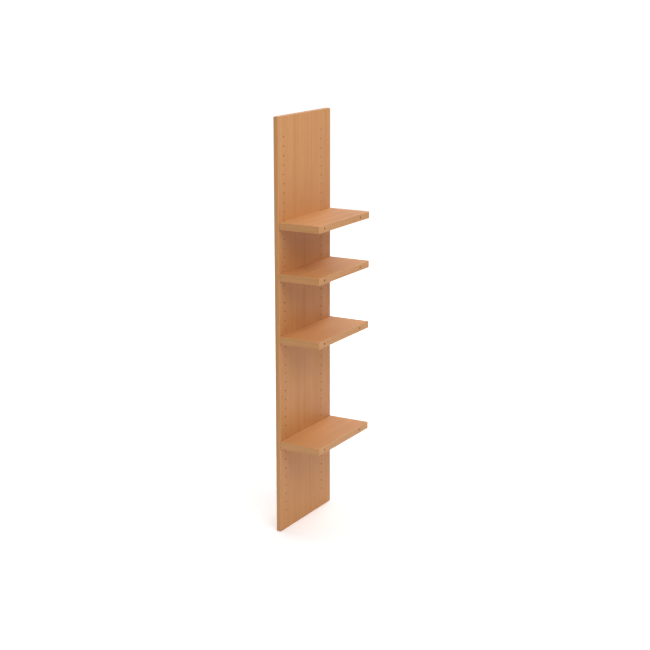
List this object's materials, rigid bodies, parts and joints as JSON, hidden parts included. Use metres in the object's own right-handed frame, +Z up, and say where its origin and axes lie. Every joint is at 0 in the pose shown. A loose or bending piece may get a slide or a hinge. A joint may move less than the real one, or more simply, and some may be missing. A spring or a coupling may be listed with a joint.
{
  "type": "add-on shelving section",
  "caption": "Tall narrow upright board with columns of fitting holes and short shelves fixed to one face by cam fittings; the free shelf ends are bored for the next upright.",
  "frame": {"origin": "on the floor, under the middle of the bounding box of the whole section", "axes": "+Z up along the upright; the shelf fronts face -Y; +X runs from the upright to the free ends of the shelves"},
  "size_m": [0.178, 0.36, 1.486],
  "materials": {
    "upright_board": "beech-faced particle board, satin, grain running up the board",
    "shelf_board": "beech-faced particle board, satin, grain running along the shelf depth",
    "edging": "2 mm beech-patterned edging, satin, eased edges",
    "cam": "die-cast zinc, slightly rough",
    "bolt": "bright zinc plated steel"
  },
  "bodies": {
    "section": {"upright_core": "upright_board", "upright_front_edging": "edging", "upright_rear_edging": "edging", "upright_top_edging": "edging", "upright_bottom_edging": "edging", "bottom_shelf_core": "shelf_board", "bottom_shelf_front_edging": "edging", "bottom_shelf_rear_edging": "edging", "bottom_shelf_wall_edging": "edging", "bottom_shelf_free_edging": "edging", "bottom_shelf_bolts": "bolt", "lower_shelf_core": "shelf_board", "lower_shelf_front_edging": "edging", "lower_shelf_rear_edging": "edging", "lower_shelf_wall_edging": "edging", "lower_shelf_free_edging": "edging", "lower_shelf_bolts": "bolt", "upper_shelf_core": "shelf_board", "upper_shelf_front_edging": "edging", "upper_shelf_rear_edging": "edging", "upper_shelf_wall_edging": "edging", "upper_shelf_free_edging": "edging", "upper_shelf_bolts": "bolt", "top_shelf_core": "shelf_board", "top_shelf_front_edging": "edging", "top_shelf_rear_edging": "edging", "top_shelf_wall_edging": "edging", "top_shelf_free_edging": "edging", "top_shelf_bolts": "bolt"},
    "bottom_shelf_cam_wall_front": {"bottom_shelf_cam_wall_front": "cam"},
    "bottom_shelf_cam_wall_rear": {"bottom_shelf_cam_wall_rear": "cam"},
    "bottom_shelf_cam_free_front": {"bottom_shelf_cam_free_front": "cam"},
    "bottom_shelf_cam_free_rear": {"bottom_shelf_cam_free_rear": "cam"},
    "lower_shelf_cam_wall_front": {"lower_shelf_cam_wall_front": "cam"},
    "lower_shelf_cam_wall_rear": {"lower_shelf_cam_wall_rear": "cam"},
    "lower_shelf_cam_free_front": {"lower_shelf_cam_free_front": "cam"},
    "lower_shelf_cam_free_rear": {"lower_shelf_cam_free_rear": "cam"},
    "upper_shelf_cam_wall_front": {"upper_shelf_cam_wall_front": "cam"},
    "upper_shelf_cam_wall_rear": {"upper_shelf_cam_wall_rear": "cam"},
    "upper_shelf_cam_free_front": {"upper_shelf_cam_free_front": "cam"},
    "upper_shelf_cam_free_rear": {"upper_shelf_cam_free_rear": "cam"},
    "top_shelf_cam_wall_front": {"top_shelf_cam_wall_front": "cam"},
    "top_shelf_cam_wall_rear": {"top_shelf_cam_wall_rear": "cam"},
    "top_shelf_cam_free_front": {"top_shelf_cam_free_front": "cam"},
    "top_shelf_cam_free_rear": {"top_shelf_cam_free_rear": "cam"}
  },
  "joints": [
    {"name": "bottom_shelf_cam_wall_front_turn", "type": "hinge", "parent": "section", "child": "bottom_shelf_cam_wall_front", "pos_m": [-0.047, -0.143, 0.3232], "axis": [0, 0, 1], "range_deg": [-190, 0]},
    {"name": "bottom_shelf_cam_wall_rear_turn", "type": "hinge", "parent": "section", "child": "bottom_shelf_cam_wall_rear", "pos_m": [-0.047, 0.113, 0.3232], "axis": [0, 0, 1], "range_deg": [-190, 0]},
    {"name": "bottom_shelf_cam_free_front_turn", "type": "hinge", "parent": "section", "child": "bottom_shelf_cam_free_front", "pos_m": [0.065, -0.143, 0.3232], "axis": [0, 0, 1], "range_deg": [0, 190]},
    {"name": "bottom_shelf_cam_free_rear_turn", "type": "hinge", "parent": "section", "child": "bottom_shelf_cam_free_rear", "pos_m": [0.065, 0.113, 0.3232], "axis": [0, 0, 1], "range_deg": [0, 190]},
    {"name": "lower_shelf_cam_wall_front_turn", "type": "hinge", "parent": "section", "child": "lower_shelf_cam_wall_front", "pos_m": [-0.047, -0.143, 0.7072], "axis": [0, 0, 1], "range_deg": [-190, 0]},
    {"name": "lower_shelf_cam_wall_rear_turn", "type": "hinge", "parent": "section", "child": "lower_shelf_cam_wall_rear", "pos_m": [-0.047, 0.113, 0.7072], "axis": [0, 0, 1], "range_deg": [-190, 0]},
    {"name": "lower_shelf_cam_free_front_turn", "type": "hinge", "parent": "section", "child": "lower_shelf_cam_free_front", "pos_m": [0.065, -0.143, 0.7072], "axis": [0, 0, 1], "range_deg": [0, 190]},
    {"name": "lower_shelf_cam_free_rear_turn", "type": "hinge", "parent": "section", "child": "lower_shelf_cam_free_rear", "pos_m": [0.065, 0.113, 0.7072], "axis": [0, 0, 1], "range_deg": [0, 190]},
    {"name": "upper_shelf_cam_wall_front_turn", "type": "hinge", "parent": "section", "child": "upper_shelf_cam_wall_front", "pos_m": [-0.047, -0.143, 0.9312], "axis": [0, 0, 1], "range_deg": [-190, 0]},
    {"name": "upper_shelf_cam_wall_rear_turn", "type": "hinge", "parent": "section", "child": "upper_shelf_cam_wall_rear", "pos_m": [-0.047, 0.113, 0.9312], "axis": [0, 0, 1], "range_deg": [-190, 0]},
    {"name": "upper_shelf_cam_free_front_turn", "type": "hinge", "parent": "section", "child": "upper_shelf_cam_free_front", "pos_m": [0.065, -0.143, 0.9312], "axis": [0, 0, 1], "range_deg": [0, 190]},
    {"name": "upper_shelf_cam_free_rear_turn", "type": "hinge", "parent": "section", "child": "upper_shelf_cam_free_rear", "pos_m": [0.065, 0.113, 0.9312], "axis": [0, 0, 1], "range_deg": [0, 190]},
    {"name": "top_shelf_cam_wall_front_turn", "type": "hinge", "parent": "section", "child": "top_shelf_cam_wall_front", "pos_m": [-0.047, -0.143, 1.1104], "axis": [0, 0, 1], "range_deg": [-190, 0]},
    {"name": "top_shelf_cam_wall_rear_turn", "type": "hinge", "parent": "section", "child": "top_shelf_cam_wall_rear", "pos_m": [-0.047, 0.113, 1.1104], "axis": [0, 0, 1], "range_deg": [-190, 0]},
    {"name": "top_shelf_cam_free_front_turn", "type": "hinge", "parent": "section", "child": "top_shelf_cam_free_front", "pos_m": [0.065, -0.143, 1.1104], "axis": [0, 0, 1], "range_deg": [0, 190]},
    {"name": "top_shelf_cam_free_rear_turn", "type": "hinge", "parent": "section", "child": "top_shelf_cam_free_rear", "pos_m": [0.065, 0.113, 1.1104], "axis": [0, 0, 1], "range_deg": [0, 190]}
  ]
}
